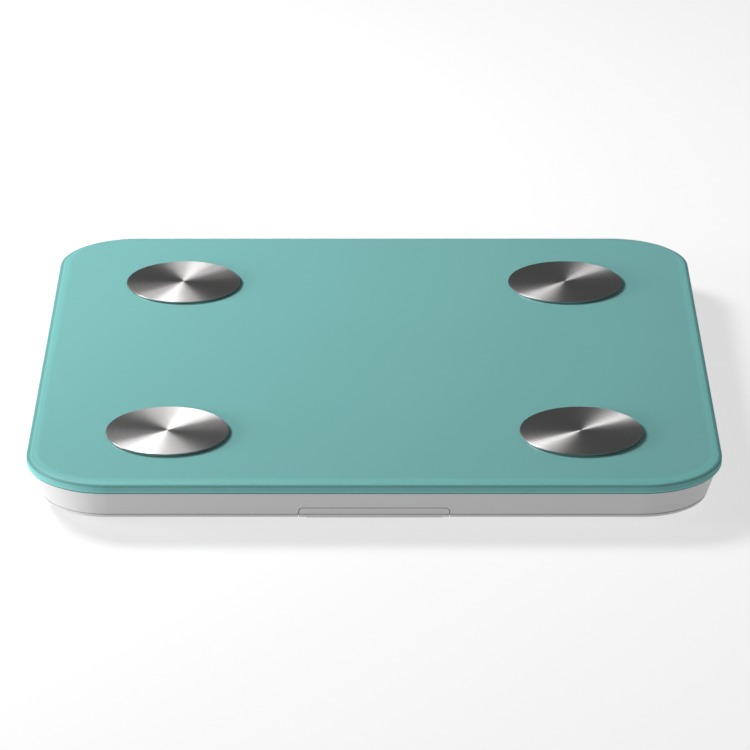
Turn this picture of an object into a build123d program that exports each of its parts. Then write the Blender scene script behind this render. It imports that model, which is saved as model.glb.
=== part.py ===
"""Body-composition bathroom scale: a square glass platform with four electrode discs, bonded
to a shallow moulded base that stands on four sensing feet. Millimetres, +Z up, the ground at
z = 0, the front towards -Y. Each function makes one sub-part."""
from build123d import *
import math
import os

# ---- platform ------------------------------------------------------------------------------
PLATE_X = 300.0             # side to side
PLATE_Y = 300.0             # front to back
PLATE_CORNER = 36.0
GLASS_THICK = 5.0
GLASS_ARRIS = 1.0           # rounding of the ground edge
PRINT_THICK = 0.2           # fired colour coat on the underside
TAPE_THICK = 0.2
TAPE_WIDTH = 9.0

# ---- electrode discs -----------------------------------------------------------------------
DISC_DIA = 53.5
DISC_THICK = 0.8
DISC_EDGE = 0.35            # rounding of the rim
DISC_SEAL = 0.15            # height of the seal that lifts it off the glass
SEAL_WIDTH = 5.0
DISC_FROM_SIDE = 60.0       # disc centre in from the platform's side
DISC_FROM_FRONT = 56.0
DISC_FROM_BACK = 64.0
STUD_DIA = 4.0
STUD_BUSH_WALL = 1.0
STUD_BELOW_PRINT = 4.2
NUT_FLATS = 7.0
NUT_THICK = 2.2
TERMINAL_DIA = 8.0
TERMINAL_THICK = 0.6

# ---- dry cells and their door --------------------------------------------------------------
CELL_DIA = 10.5
CELL_LENGTH = 44.5          # over the positive nub
CELL_NUB_DIA = 3.8
CELL_NUB = 1.0
CELL_EDGE = 0.4
CELL_COUNT = 4
CELL_GAP = 0.5              # between neighbours, and at the bay's ends
CELL_CLEAR = 0.2            # above and below
PLUS_ROOM = 1.5             # bay wall to the nub
MINUS_ROOM = 6.0            # bay wall to the flat end
CONTACT_THICK = 0.4
CONTACT_WIDTH = 7.0
DIMPLE_DIA = 3.2            # pressed in the plus contact
LEAF_BEND = 1.2             # half height of the spring's nose
BAY_WALL = 1.5
BAY_ROOF = 1.0
DOOR_THICK = 1.2
DOOR_LIP_X = 64.0           # width of the lip in the front wall
DOOR_LIP_RISE = 5.0
DOOR_LIP_CORNER = 1.8
DOOR_SIDE_STEP = 3.0        # the plate is this much narrower than the lip, each side
DOOR_TONGUE = 2.5           # reach of the runner beyond the plate
DOOR_TONGUE_THICK = 1.0
DOOR_BEHIND_BAY = 4.0
GRIP_HALF = 9.0             # half width of the grip lines, and their start behind the wall
GRIP_LINES = 5
GRIP_PITCH = 2.2
GRIP_LINE = 1.0
GRIP_DEEP = 0.4

# ---- base ----------------------------------------------------------------------------------
BASE_INSET = 2.0            # rim in from the platform's edge
BASE_DRAFT = 4.5            # underside in from the rim
BASE_WALL = 2.0
BASE_FLOOR = 1.8
BASE_EDGE = 1.0             # rounding under the wall
SEAM_RISE = 1.5             # seam groove above the underside
SEAM_TALL = 0.5
SEAM_DEEP = 0.4
RIB_THICK = 1.2
RIB_PITCH = 24.0
RIB_BELOW_RIM = 4.2

# ---- feet and load cells -------------------------------------------------------------------
STAND = 4.5                 # underside of the base above the ground
FOOT_DIA = 36.0
FOOT_GAP = 0.5              # round the foot
FOOT_LIFT = 1.6             # hard cap above the ground
FOOT_FLOAT = 0.6            # free drop when the scale is lifted
FLOAT_SPARE = 0.2
CAP_EDGE = 0.5
FLANGE_REACH = 2.5
FLANGE_THICK = 1.2
PAD_WALL = 2.2              # cap rim round the pad
PAD_DEEP = 0.8
PAD_RING_PITCH = 3.2
PAD_RING_DEEP = 0.5
PAD_RING_WIDE = 1.0
PAD_EDGE = 0.4
POST_DIA = 14.0
POST_GAP = 0.05
KEEPER_THICK = 1.7
KEEPER_LAND = 5.0           # keeper ring outside the well's bore
KEEPER_SINK = 1.02          # depth of the screw heads' sink
WELL_WALL = 6.5
LOAD_CELL = 30.0
LOAD_CELL_THICK = 2.5
LOAD_CELL_CORNER = 4.0
LOAD_CELL_FLEX = 0.3        # room above the tongue
LOAD_CELL_BAR = 5.0
LOAD_CELL_SLOT = 1.6
LOAD_CELL_HOLE = 3.0
RETAINER_THICK = 1.8
GAUGE = 5.0
GAUGE_WIDE = 3.0
GAUGE_APART = 1.6
GAUGE_THICK = 0.25

# ---- electronics ---------------------------------------------------------------------------
BOARD_X = 70.0
BOARD_Y = 46.0
BOARD_THICK = 1.6
BOARD_FROM_BACK = 65.0      # board centre in from the platform's back edge
BOARD_BELOW_RIM = 4.0       # top of the board
BOARD_SCREW_IN = 3.5
DISPLAY_X = 56.0
DISPLAY_Y = 20.0
DISPLAY_GAP = 0.3           # to the printed coat
DISPLAY_BACK = 7.0          # display centre behind the board's centre
DIGIT_COUNT = 4
DIGIT_PITCH = 12.5
DIGIT_SEGMENT = 5.6
SEGMENT_WIDE = 1.3
SEGMENT_DEEP = 0.6
CONNECTOR_DEEP = 5.0
CONNECTOR_TALL = 3.2
PLUG_HALF = 2.6             # three-way plug, half width
WIDE_PLUG_HALF = 5.0
WIRE_DIA = 1.0
WIRE_PITCH = 1.25
WIRE_TURN = 5.0
CHIP_DIA = 10.0
CHIP_TALL = 1.6
CHIP_EDGE = 1.2
CHIP_X = -14.0              # places on the board are from its centre
CHIP_Y = -12.0
MODULE_X = 10.0
MODULE_Y = -13.0
MODULE_LONG = 14.0
MODULE_WIDE = 9.0
MODULE_CARD = 0.8
MODULE_CAN = 1.2
CRYSTAL_X = 12.0
CRYSTAL_Y = -20.0
CAPACITOR = 1.4
CAPACITOR_LONG = 2.5
CAPACITOR_TALL = 0.9
CAPACITOR_PITCH = 2.5
BUTTON_DIA = 8.0
BUTTON_GAP = 0.25
BUTTON_TRAVEL = 0.5
BUTTON_SUNK = 0.3
BUTTON_FLANGE = 1.3
BUTTON_FLANGE_THICK = 0.8
BUTTON_EDGE = 0.5
PLUNGER_OUT = 0.4
BUTTON_X = 18.0             # from the board's centre
BUTTON_Y = -8.0
SWITCH_SIDE = 6.0
SWITCH_TALL = 2.6
PLUNGER_DIA = 3.2
SCREW_HEAD = 3.8
SCREW_SHANK = 2.0
SCREW_LENGTH = 6.0
SCREW_HEAD_TALL = 1.4
SCREW_HEAD_EDGE = 0.5
SLOT_REACH = 1.2            # cross slot, half length
SLOT_HALF = 0.25
SLOT_DEEP = 0.5
FIT = 0.05                  # round screws and studs
CLEAR = 0.3                 # round the door
LABEL_X = 46.0
LABEL_Y = 26.0
LABEL_THICK = 0.15

# ---- levels and places that follow ---------------------------------------------------------
Z_BASE = STAND
Z_FLOOR = Z_BASE + BASE_FLOOR
Z_CELLS = Z_BASE + DOOR_THICK + CELL_CLEAR
Z_ROOF = Z_CELLS + CELL_DIA + CELL_CLEAR
Z_RIM = Z_ROOF + BAY_ROOF
Z_PRINT = Z_RIM + TAPE_THICK
Z_GLASS = Z_PRINT + PRINT_THICK
Z_TOP = Z_GLASS + GLASS_THICK
Z_RIB = Z_RIM - RIB_BELOW_RIM

FOOT_R = FOOT_DIA / 2
BORE_R = FOOT_R + FLANGE_REACH + FOOT_GAP
WELL_R = BORE_R + WELL_WALL
KEEPER_R = BORE_R + KEEPER_LAND
FOOT_EDGE = BASE_INSET + BASE_DRAFT + BASE_EDGE + 0.5 + WELL_R
FOOT_X = PLATE_X / 2 - FOOT_EDGE
FOOT_Y = PLATE_Y / 2 - FOOT_EDGE
Z_KEEPER = Z_BASE + KEEPER_THICK
Z_FLANGE = Z_KEEPER + FOOT_FLOAT + FLOAT_SPARE
Z_WELL = Z_RIM - BASE_WALL
Z_LOAD_CELL = Z_WELL - LOAD_CELL_FLEX - LOAD_CELL_THICK

DISC_X = PLATE_X / 2 - DISC_FROM_SIDE
DISC_BACK_Y = PLATE_Y / 2 - DISC_FROM_BACK
DISC_FRONT_Y = DISC_FROM_FRONT - PLATE_Y / 2
STUD_HOLE_R = STUD_DIA / 2 + STUD_BUSH_WALL + FIT

FRONT = BASE_INSET + BASE_DRAFT - PLATE_Y / 2          # outer front face at the underside
LIP_BACK = FRONT + BASE_WALL + 0.2
BAY_FRONT = LIP_BACK + CLEAR + BAY_WALL
BAY_X = CELL_LENGTH + PLUS_ROOM + MINUS_ROOM
BAY_Y = CELL_COUNT * CELL_DIA + (CELL_COUNT + 1) * CELL_GAP
BAY_REAR = BAY_FRONT + BAY_Y
DOOR_PLATE_X = DOOR_LIP_X - 2 * DOOR_SIDE_STEP
DOOR_REAR = BAY_REAR + DOOR_BEHIND_BAY
Z_TONGUE = Z_BASE + DOOR_THICK + CLEAR
TONGUE_X = DOOR_PLATE_X / 2 + DOOR_TONGUE

BOARD_AT = PLATE_Y / 2 - BOARD_FROM_BACK
Z_BOARD = Z_RIM - BOARD_BELOW_RIM - BOARD_THICK
Z_PARTS = Z_BOARD + BOARD_THICK
SCREW_X = BOARD_X / 2 - BOARD_SCREW_IN
SCREW_Y = BOARD_Y / 2 - BOARD_SCREW_IN
Z_WIRE = Z_PARTS + 0.7
PLUG_X = BOARD_X / 2 - 0.5                             # outer face of the side connectors
LEAD_X = (BOARD_X / 2 + FOOT_X - WELL_R) / 2           # load cell leads run forward here
DISC_LEAD_X = (LEAD_X + DISC_X) / 2
FRONT_CELL_PLUG = -13.0                                # plugs, from the board's centre
FRONT_DISC_PLUG = -6.0
BACK_DISC_PLUG = 1.0
BACK_CELL_PLUG = 11.0
BATTERY_WIRE_X = 2.0
BATTERY_WIRE_TURN = 12.0
BACK_LANE = 16.0                                       # back load cell leads, off the board
Z_BUTTON = Z_BASE + BUTTON_SUNK
Z_SWITCH = Z_BOARD - SWITCH_TALL

CORNERS = {"front_left": (-1, -1), "front_right": (1, -1), "back_left": (-1, 1), "back_right": (1, 1)}


def slab(size_x, size_y, corner, low, high):
    """An upright prism with rounded corners, centred on the axis."""
    return extrude(Pos(0, 0, low) * RectangleRounded(size_x, size_y, corner), high - low)


def block(x0, x1, y0, y1, low, high):
    centre = Pos((x0 + x1) / 2, (y0 + y1) / 2, (low + high) / 2)
    return centre * Box(abs(x1 - x0), abs(y1 - y0), high - low)


def drum(radius, low, high, x=0.0, y=0.0):
    return Pos(x, y, (low + high) / 2) * Cylinder(radius, high - low)


def ring(outer, inner, low, high, x=0.0, y=0.0):
    return drum(outer, low, high, x, y) - drum(inner, low - 1, high + 1, x, y)


def group(shapes):
    return Compound(children=[solid for shape in shapes for solid in shape.solids()])


def foot_at(corner):
    side, end = CORNERS[corner]
    return side * FOOT_X, end * FOOT_Y


def disc_at(corner):
    side, end = CORNERS[corner]
    return side * DISC_X, DISC_BACK_Y if end > 0 else DISC_FRONT_Y


def tapered(margin, low_edge, high_edge):
    """A prism that follows the drafted outer wall, this margin inside it."""
    sections = []
    for level, inset in ((low_edge, BASE_INSET + BASE_DRAFT), (high_edge, BASE_INSET)):
        total = inset + margin
        shape = RectangleRounded(PLATE_X - 2 * total, PLATE_Y - 2 * total, PLATE_CORNER - total)
        sections.append(Pos(0, 0, level) * shape)
    return loft(sections, ruled=True)


# ---- platform ------------------------------------------------------------------------------
def glass_platform():
    glass = slab(PLATE_X, PLATE_Y, PLATE_CORNER, Z_GLASS, Z_TOP)
    rims = glass.edges().group_by(Axis.Z)
    glass = fillet(rims[0] + rims[-1], GLASS_ARRIS)
    for corner in CORNERS:
        glass -= drum(STUD_HOLE_R, Z_GLASS - 1, Z_TOP + 1, *disc_at(corner))
    return glass


def printed_coat():
    margin = 2 * GLASS_ARRIS
    coat_corner = PLATE_CORNER - GLASS_ARRIS
    coat = slab(PLATE_X - margin, PLATE_Y - margin, coat_corner, Z_PRINT, Z_GLASS)
    for corner in CORNERS:
        coat -= drum(STUD_HOLE_R, Z_PRINT - 1, Z_GLASS + 1, *disc_at(corner))
    return coat


def bonding_tape():
    outer = BASE_INSET + 0.5
    inner = outer + TAPE_WIDTH
    tape = slab(PLATE_X - 2 * outer, PLATE_Y - 2 * outer, PLATE_CORNER - outer, Z_RIM, Z_PRINT)
    return tape - slab(PLATE_X - 2 * inner, PLATE_Y - 2 * inner, PLATE_CORNER - inner,
                       Z_RIM - 1, Z_PRINT + 1)


# ---- electrodes ----------------------------------------------------------------------------
def electrode_disc(corner):
    """A turned disc with the stud welded under its centre."""
    x, y = disc_at(corner)
    low = Z_TOP + DISC_SEAL
    plate = Cylinder(DISC_DIA / 2, DISC_THICK)
    rims = plate.edges().group_by(Axis.Z)
    plate = fillet(rims[0] + rims[-1], DISC_EDGE)
    stud = drum(STUD_DIA / 2, Z_PRINT - STUD_BELOW_PRINT, low + DISC_THICK / 2, x, y)
    return Pos(x, y, low + DISC_THICK / 2) * plate + stud


def electrode_seal(corner):
    outer = DISC_DIA / 2 - 1.0
    return ring(outer, outer - SEAL_WIDTH, Z_TOP, Z_TOP + DISC_SEAL, *disc_at(corner))


def stud_bush(corner):
    return ring(STUD_HOLE_R - FIT, STUD_DIA / 2 + FIT, Z_PRINT, Z_TOP, *disc_at(corner))


def ring_terminal(corner):
    """An eyelet under the stud's nut, with its barrel towards the middle of the scale."""
    x, y = disc_at(corner)
    side = CORNERS[corner][0]
    high = Z_PRINT - FIT
    eye = drum(TERMINAL_DIA / 2, high - TERMINAL_THICK, high, x, y)
    edge = x - side * (TERMINAL_DIA / 2 - 1)
    barrel_end = edge - side * 5.0
    eye += block(edge, barrel_end, y - 1.1, y + 1.1, high - TERMINAL_THICK, high)
    eye += block(edge - side * 1.5, barrel_end, y - 1.1, y + 1.1, Z_WIRE - 0.8, high)
    return eye - drum(STUD_DIA / 2 + FIT, high - 2, high + 1, x, y)


def stud_nut(corner):
    x, y = disc_at(corner)
    high = Z_PRINT - 2 * FIT - TERMINAL_THICK
    hexagon = Pos(x, y, high - NUT_THICK) * RegularPolygon(NUT_FLATS / 2, 6, major_radius=False)
    return extrude(hexagon, NUT_THICK) - drum(STUD_DIA / 2 + FIT, high - 5, high + 1, x, y)


# ---- base ----------------------------------------------------------------------------------
def base_outline():
    """The base's outer form with its seam groove, which the door's lip carries on."""
    form = tapered(0, Z_BASE, Z_RIM)
    form = fillet(form.edges().group_by(Axis.Z)[0], BASE_EDGE)
    low = Z_BASE + SEAM_RISE
    high = low + SEAM_TALL
    share = (SEAM_RISE + SEAM_TALL / 2) / (Z_RIM - Z_BASE)
    inset = BASE_INSET + BASE_DRAFT * (1 - share) + SEAM_DEEP
    core = slab(PLATE_X - 2 * inset, PLATE_Y - 2 * inset, PLATE_CORNER - inset, low, high)
    return form - (slab(PLATE_X, PLATE_Y, PLATE_CORNER, low, high) - core)


def base_walls():
    """The drafted tray with its seam groove and the inner wall that the tape also holds."""
    tray = base_outline()
    tray -= tapered(BASE_WALL, Z_FLOOR, Z_RIM + 0.001)
    outer = BASE_INSET + TAPE_WIDTH - RIB_THICK
    inner = outer + RIB_THICK
    tray += (slab(PLATE_X - 2 * outer, PLATE_Y - 2 * outer, PLATE_CORNER - outer, Z_FLOOR, Z_RIM)
             - slab(PLATE_X - 2 * inner, PLATE_Y - 2 * inner, PLATE_CORNER - inner,
                    Z_FLOOR, Z_RIM))
    return tray


def rib_grid():
    """Stiffening ribs both ways across the floor, inside the outer wall."""
    ribs = None
    reach_x = PLATE_X / 2 - BASE_INSET - BASE_DRAFT - BASE_WALL / 2
    reach_y = PLATE_Y / 2 - BASE_INSET - BASE_DRAFT - BASE_WALL / 2
    half = RIB_THICK / 2
    for i in range(-int(reach_x / RIB_PITCH), int(reach_x / RIB_PITCH) + 1):
        at = i * RIB_PITCH
        bar = block(at - half, at + half, -reach_y, reach_y, Z_FLOOR - 0.5, Z_RIB)
        ribs = bar if ribs is None else ribs + bar
    for i in range(-int(reach_y / RIB_PITCH), int(reach_y / RIB_PITCH) + 1):
        at = i * RIB_PITCH
        ribs += block(-reach_x, reach_x, at - half, at + half, Z_FLOOR - 0.5, Z_RIB)
    return ribs & tapered(BASE_WALL / 2, Z_BASE, Z_RIM)


def keeper_screw_places(corner):
    x, y = foot_at(corner)
    side, end = CORNERS[corner]
    start = math.degrees(math.atan2(end, side))
    radius = BORE_R + KEEPER_LAND / 2
    for turn in (0, 120, 240):
        angle = math.radians(start + turn)
        yield x + radius * math.cos(angle), y + radius * math.sin(angle)


def board_screw_places():
    for side in (-1, 1):
        for end in (-1, 1):
            yield side * SCREW_X, BOARD_AT + end * SCREW_Y


def base_shell():
    base = base_walls() + rib_grid()
    base -= block(-BOARD_X / 2 - 4, BOARD_X / 2 + 4, BOARD_AT - BOARD_Y / 2 - 4,
                  BOARD_AT + BOARD_Y / 2 + 4, Z_FLOOR, Z_RIM)
    for x, y in board_screw_places():
        base += drum(SCREW_HEAD / 2 + 1.2, Z_FLOOR - 0.5, Z_BOARD, x, y)
        base -= drum(SCREW_SHANK / 2 + FIT, Z_BOARD - SCREW_LENGTH + 1, Z_BOARD + 1, x, y)
    for corner in CORNERS:
        base = base_well(base, corner)
    base = base_bay(base)
    for corner in CORNERS:
        x, y = disc_at(corner)
        side = CORNERS[corner][0]
        low = Z_PRINT - STUD_BELOW_PRINT - CLEAR
        relief = TERMINAL_DIA / 2 + CLEAR
        base -= drum(relief, low, Z_RIM + 1, x, y)
        base -= block(x, x - side * (TERMINAL_DIA + 4), y - 1.6, y + 1.6, low, Z_RIM + 1)
    return base_button_hole(base)


def base_well(base, corner):
    """A tower that opens downwards: the load cell under its roof, the foot in its bore."""
    x, y = foot_at(corner)
    side = CORNERS[corner][0]
    base += drum(WELL_R, Z_FLOOR - 0.5, Z_RIM, x, y)
    base -= drum(BORE_R, Z_BASE - 1, Z_WELL, x, y)
    base -= drum(KEEPER_R + FIT, Z_BASE - 1, Z_KEEPER + FIT, x, y)
    for end in (-1, 1):
        edge = y + end * LOAD_CELL / 2
        base += block(x - LOAD_CELL / 3, x + LOAD_CELL / 3, edge, edge - end * LOAD_CELL_BAR * 0.8,
                      Z_WELL - LOAD_CELL_FLEX, Z_WELL + 0.5)
    slot = 2 * WIRE_PITCH + WIRE_DIA
    base -= block(x - side * (BORE_R - 2), x - side * (WELL_R + 1), y - slot / 2 - 0.5,
                  y + slot / 2 + 0.5, Z_WIRE - WIRE_DIA, Z_WIRE + WIRE_DIA)
    for screw_x, screw_y in keeper_screw_places(corner):
        base -= drum(SCREW_SHANK / 2 + FIT, Z_BASE, Z_BASE + SCREW_LENGTH + 0.5, screw_x, screw_y)
    return base


def base_bay(base):
    """The dry-cell bay, the door's runners under it and the door's gap in the front wall."""
    rear = BAY_REAR + BAY_WALL
    runner_x = TONGUE_X + CLEAR
    z_runner = Z_TONGUE + DOOR_TONGUE_THICK + CLEAR
    base += block(-BAY_X / 2 - BAY_WALL, BAY_X / 2 + BAY_WALL, LIP_BACK + CLEAR, rear,
                  Z_FLOOR - 0.5, Z_RIM)
    shoe_x = runner_x + RIB_THICK
    base += block(-shoe_x, shoe_x, FRONT + BASE_WALL, DOOR_REAR + CLEAR + RIB_THICK,
                  Z_FLOOR - 0.5, z_runner + RIB_THICK)
    base -= block(-BAY_X / 2, BAY_X / 2, BAY_FRONT, BAY_REAR, Z_BASE - 1, Z_ROOF)
    half_plate = DOOR_PLATE_X / 2 + CLEAR
    base -= block(-half_plate, half_plate, FRONT - 2, DOOR_REAR + CLEAR,
                  Z_BASE - 1, Z_BASE + DOOR_THICK + CELL_CLEAR)
    for side in (-1, 1):
        base -= block(side * (BAY_X / 2 + BAY_WALL), side * runner_x, FRONT - 2,
                      DOOR_REAR + CLEAR, Z_BASE + DOOR_THICK, z_runner)
    return base - lip_prism(CLEAR, FRONT - 4, LIP_BACK + CLEAR)


def lip_prism(grow, y0, y1):
    """The outline of the door's lip, run from y0 to y1."""
    width = DOOR_LIP_X + 2 * grow
    high = Z_BASE + DOOR_LIP_RISE + grow
    low = Z_BASE - grow - 1
    outline = Plane.XZ * Pos(0, (low + high) / 2) * RectangleRounded(width, high - low,
                                                                     DOOR_LIP_CORNER + grow)
    prism = extrude(outline, -(y1 - y0))
    prism = Pos(0, y0 - prism.bounding_box().min.Y, 0) * prism
    return prism + block(-width / 2, width / 2, y0, y1, low, (low + high) / 2)


def base_button_hole(base):
    x, y = BUTTON_X, BOARD_AT + BUTTON_Y
    return base - drum(BUTTON_DIA / 2 + BUTTON_GAP, Z_BASE - 1, Z_FLOOR + 1, x, y)


# ---- dry cells and door --------------------------------------------------------------------
def battery_door():
    """A sliding door: plate, two runners, and a lip that fills the gap in the front wall."""
    half = DOOR_PLATE_X / 2
    door = block(-half, half, FRONT, DOOR_REAR, Z_BASE, Z_BASE + DOOR_THICK)
    wall_in = BAY_X / 2 + BAY_WALL + CLEAR
    for side in (-1, 1):
        door += block(side * wall_in, side * half, LIP_BACK - 1, DOOR_REAR,
                      Z_BASE, Z_TONGUE + DOOR_TONGUE_THICK)
        door += block(side * wall_in, side * TONGUE_X, LIP_BACK - 1, DOOR_REAR,
                      Z_TONGUE, Z_TONGUE + DOOR_TONGUE_THICK)
    lip = lip_prism(0, FRONT - 2, LIP_BACK) & base_outline()
    door += lip
    for i in range(GRIP_LINES):
        at = FRONT + GRIP_HALF + i * GRIP_PITCH
        door -= block(-GRIP_HALF, GRIP_HALF, at, at + GRIP_LINE, Z_BASE - 1, Z_BASE + GRIP_DEEP)
    return door


def cell_place(index):
    """Middle of the bay's row for this cell, and which way its nub points."""
    y = BAY_FRONT + CELL_GAP + CELL_DIA / 2 + index * (CELL_DIA + CELL_GAP)
    return y, Z_CELLS + CELL_DIA / 2, 1 if index % 2 == 0 else -1


def dry_cell(index):
    y, z, way = cell_place(index)
    nub_end = way * (BAY_X / 2 - PLUS_ROOM)
    body_length = CELL_LENGTH - CELL_NUB
    can = Cylinder(CELL_DIA / 2, body_length, rotation=(0, 90, 0))
    can = fillet(can.edges().filter_by(GeomType.CIRCLE), CELL_EDGE)
    cell = Pos(nub_end - way * (CELL_NUB + body_length / 2), y, z) * can
    nub = Cylinder(CELL_NUB_DIA / 2, CELL_NUB + 1, rotation=(0, 90, 0))
    return cell + Pos(nub_end - way * (CELL_NUB + 1) / 2, y, z) * nub


def plus_contact(index):
    """A plate on the bay's wall with a pressed dimple that meets the nub."""
    y, z, way = cell_place(index)
    wall = way * BAY_X / 2
    half = CONTACT_WIDTH / 2
    plate = block(wall, wall - way * CONTACT_THICK, y - half, y + half, z - half, z + half)
    reach = PLUS_ROOM - CONTACT_THICK - FIT
    dimple = Cylinder(DIMPLE_DIA / 2, reach, rotation=(0, 90, 0))
    return plate + Pos(wall - way * (CONTACT_THICK + reach / 2), y, z) * dimple


def minus_spring(index):
    """A folded leaf that presses the flat end of the cell."""
    y, z, way = cell_place(index)
    wall = -way * BAY_X / 2
    room = MINUS_ROOM - FIT
    half = CONTACT_WIDTH / 2
    t = CONTACT_THICK
    fold = [(0, -half), (0, half), (t, half), (room - t, LEAF_BEND), (room, LEAF_BEND / 2),
            (room, -LEAF_BEND / 2), (room - t, -LEAF_BEND), (room - t, LEAF_BEND / 2),
            (t, half - LEAF_BEND), (t, -half)]
    points = [(wall + way * out, z + up) for out, up in fold]
    face = Plane.XZ * make_face(Polyline(*points, close=True))
    leaf = extrude(face, half, both=True)
    return Pos(0, y - leaf.center().Y, 0) * leaf


# ---- feet and load cells -------------------------------------------------------------------
def foot_cap(corner):
    x, y = foot_at(corner)
    cap = drum(FOOT_R, FOOT_LIFT, Z_FLANGE + FLANGE_THICK, x, y)
    cap = chamfer(cap.edges().group_by(Axis.Z)[0], CAP_EDGE)
    cap += drum(FOOT_R + FLANGE_REACH, Z_FLANGE, Z_FLANGE + FLANGE_THICK, x, y)
    cap += drum(POST_DIA / 2, Z_FLANGE, Z_LOAD_CELL - POST_GAP, x, y)
    return cap - drum(FOOT_R - PAD_WALL, FOOT_LIFT - 1, FOOT_LIFT + PAD_DEEP, x, y)


def foot_pad(corner):
    """A grip pad glued in the cap, with ring grooves round a flat middle."""
    x, y = foot_at(corner)
    radius = FOOT_R - PAD_WALL - FIT
    pad = drum(radius, 0, FOOT_LIFT + PAD_DEEP, x, y)
    pad = fillet(pad.edges().group_by(Axis.Z)[0], PAD_EDGE)
    groove = 2 * PAD_RING_PITCH
    while groove + PAD_RING_PITCH < radius:
        pad -= ring(groove + PAD_RING_WIDE, groove, -1, PAD_RING_DEEP, x, y)
        groove += PAD_RING_PITCH
    return pad


def foot_keeper(corner):
    """The ring screwed under the base that stops the foot from falling out."""
    x, y = foot_at(corner)
    keeper = ring(KEEPER_R, FOOT_R + FOOT_GAP, Z_BASE, Z_KEEPER, x, y)
    for screw_x, screw_y in keeper_screw_places(corner):
        keeper -= drum(SCREW_HEAD / 2 + FIT, Z_BASE - 1, Z_BASE + KEEPER_SINK, screw_x, screw_y)
        keeper -= drum(SCREW_SHANK / 2 + FIT, Z_BASE - 1, Z_KEEPER + 1, screw_x, screw_y)
    return keeper


def cross_slotted(head, x, y, low, high):
    head -= block(x - SLOT_REACH, x + SLOT_REACH, y - SLOT_HALF, y + SLOT_HALF, low, high)
    return head - block(x - SLOT_HALF, x + SLOT_HALF, y - SLOT_REACH, y + SLOT_REACH, low, high)


def keeper_screw(place):
    x, y = place
    head_top = Z_BASE + KEEPER_SINK - FIT
    head = drum(SCREW_HEAD / 2, Z_BASE + 0.1, head_top, x, y)
    head = cross_slotted(head, x, y, Z_BASE - 1, Z_BASE + SLOT_DEEP)
    return head + drum(SCREW_SHANK / 2, head_top - 0.2, Z_BASE + SCREW_LENGTH, x, y)


def load_cell(corner):
    """A stamped steel bending element: an outer frame with a tongue that the foot pushes."""
    x, y = foot_at(corner)
    top = Z_LOAD_CELL + LOAD_CELL_THICK
    plate = Pos(x, y) * slab(LOAD_CELL, LOAD_CELL, LOAD_CELL_CORNER, Z_LOAD_CELL, top)
    inner = LOAD_CELL / 2 - LOAD_CELL_BAR
    for side in (-1, 1):
        edge = y + side * inner
        plate -= block(x - inner, x + inner, edge, edge - side * LOAD_CELL_SLOT,
                       Z_LOAD_CELL - 1, top + 1)
    plate -= block(x + inner - LOAD_CELL_SLOT, x + inner, y - inner, y + inner,
                   Z_LOAD_CELL - 1, top + 1)
    return plate - drum(LOAD_CELL_HOLE / 2, Z_LOAD_CELL - 1, top + 1, x, y)


def strain_gauges(corner):
    """A gauge pair at the tongue's root, on the lower face."""
    x, y = foot_at(corner)
    root = x - LOAD_CELL / 2 + LOAD_CELL_BAR
    pair = []
    for side in (-1, 1):
        at = y + side * (GAUGE + GAUGE_APART) / 2
        patch = Box(GAUGE_WIDE, GAUGE, GAUGE_THICK)
        pair.append(Pos(root + 0.5, at, Z_LOAD_CELL - GAUGE_THICK / 2) * patch)
    return group(pair)


def load_cell_retainer(corner):
    """The plastic ring that holds the element up under the well's roof."""
    x, y = foot_at(corner)
    high = Z_LOAD_CELL - GAUGE_THICK - FIT
    retainer = ring(BORE_R - FIT, POST_DIA / 2 + 3, high - RETAINER_THICK, high, x, y)
    lift = ring(BORE_R - FIT, LOAD_CELL / 2 - 1.5, high - 0.5, Z_LOAD_CELL - FIT, x, y)
    return retainer + (lift - block(x - BORE_R, x + BORE_R, y - 6, y + 6, high, Z_LOAD_CELL))


# ---- electronics ---------------------------------------------------------------------------
def main_board():
    board = Pos(0, BOARD_AT) * slab(BOARD_X, BOARD_Y, 1.5, Z_BOARD, Z_PARTS)
    for x, y in board_screw_places():
        board -= drum(SCREW_SHANK / 2 + 0.2, Z_BOARD - 1, Z_PARTS + 1, x, y)
    return board


def board_screw(place):
    x, y = place
    top = Z_PARTS + SCREW_HEAD_TALL
    head = drum(SCREW_HEAD / 2, Z_PARTS, top, x, y)
    head = fillet(head.edges().group_by(Axis.Z)[-1], SCREW_HEAD_EDGE)
    head = cross_slotted(head, x, y, top - SLOT_DEEP, top + 1)
    return head + drum(SCREW_SHANK / 2, Z_BOARD - SCREW_LENGTH + 2, Z_PARTS + 0.2, x, y)


def digit_segments(grow, low, high):
    """Seven bars for each digit of the display."""
    bars = []
    reach = DIGIT_SEGMENT / 2 - SEGMENT_WIDE * 0.65 + grow
    wide = SEGMENT_WIDE / 2 + grow
    middle = BOARD_AT + DISPLAY_BACK
    for digit in range(DIGIT_COUNT):
        x = (digit - (DIGIT_COUNT - 1) / 2) * DIGIT_PITCH
        for row in (-1, 0, 1):
            y = middle + row * DIGIT_SEGMENT
            bars.append(block(x - reach, x + reach, y - wide, y + wide, low, high))
        for side in (-1, 1):
            for row in (-0.5, 0.5):
                at = x + side * DIGIT_SEGMENT / 2
                y = middle + row * DIGIT_SEGMENT
                bars.append(block(at - wide, at + wide, y - reach, y + reach, low, high))
    return bars


def display_housing():
    middle = BOARD_AT + DISPLAY_BACK
    high = Z_PRINT - DISPLAY_GAP
    housing = Pos(0, middle) * slab(DISPLAY_X, DISPLAY_Y, 1.0, Z_PARTS, high)
    for bar in digit_segments(FIT, high - SEGMENT_DEEP, high + 1):
        housing -= bar
    return housing


def display_segments():
    high = Z_PRINT - DISPLAY_GAP
    return group(digit_segments(0, high - SEGMENT_DEEP, high))


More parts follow.
